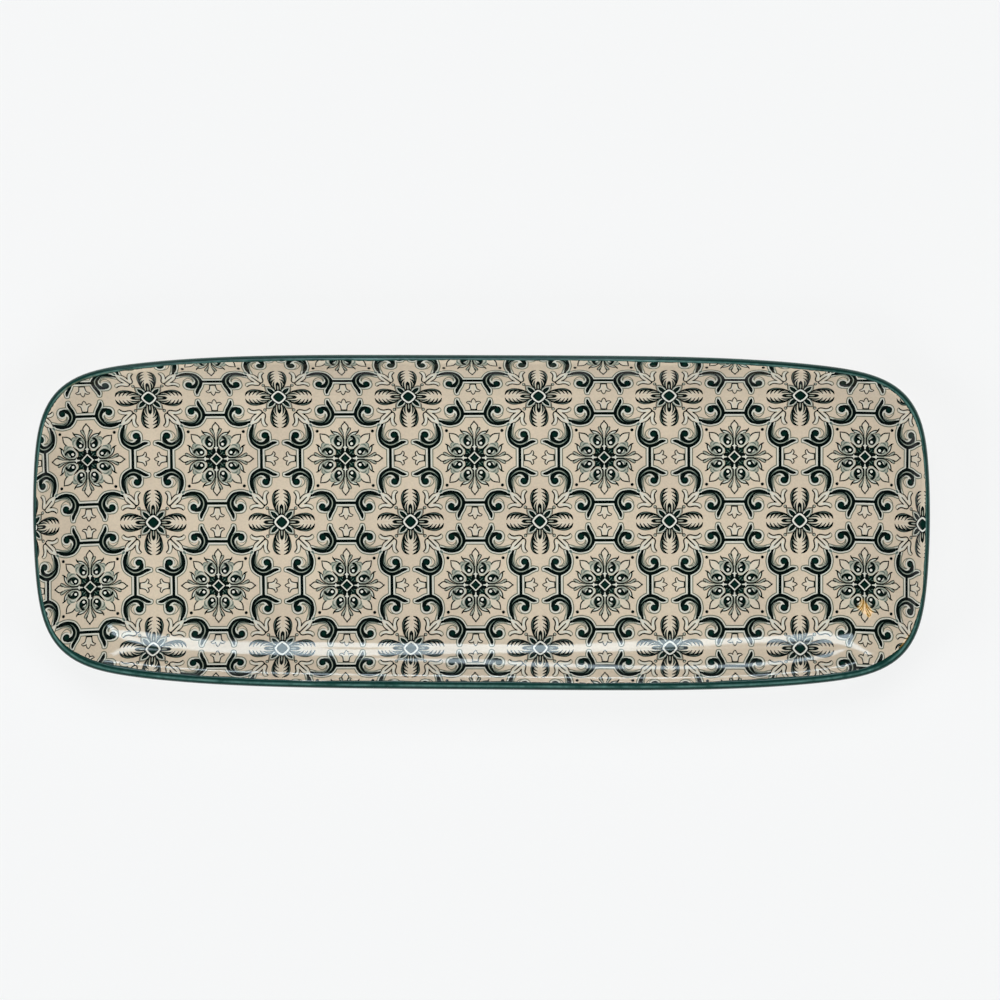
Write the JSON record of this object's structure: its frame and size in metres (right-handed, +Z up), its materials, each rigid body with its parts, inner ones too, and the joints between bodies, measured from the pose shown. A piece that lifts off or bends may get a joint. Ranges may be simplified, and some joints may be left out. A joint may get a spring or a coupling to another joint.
{
  "type": "serving tray",
  "caption": "Long rectangular glazed stoneware serving tray with rounded corners, a shallow dished well, printed tile ornament and a painted green rim.",
  "frame": {"origin": "on the plane the foot stands on, under the middle of the tray", "axes": "+X along the tray's length, +Y across it, +Z up out of the well"},
  "size_m": [0.3, 0.1124, 0.02],
  "materials": {
    "bare_clay": "unglazed, fine matte",
    "sand_glaze": "clear gloss",
    "transfer_ink": "clear gloss",
    "green_glaze": "clear gloss, brushed on",
    "pale_glaze": "gloss"
  },
  "bodies": {
    "root": {"clay_body": "bare_clay", "face_glaze": "sand_glaze", "printed_transfer": "transfer_ink", "rim_band": "green_glaze", "underside_glaze": "pale_glaze", "recess_glaze": "pale_glaze"}
  },
  "joints": []
}
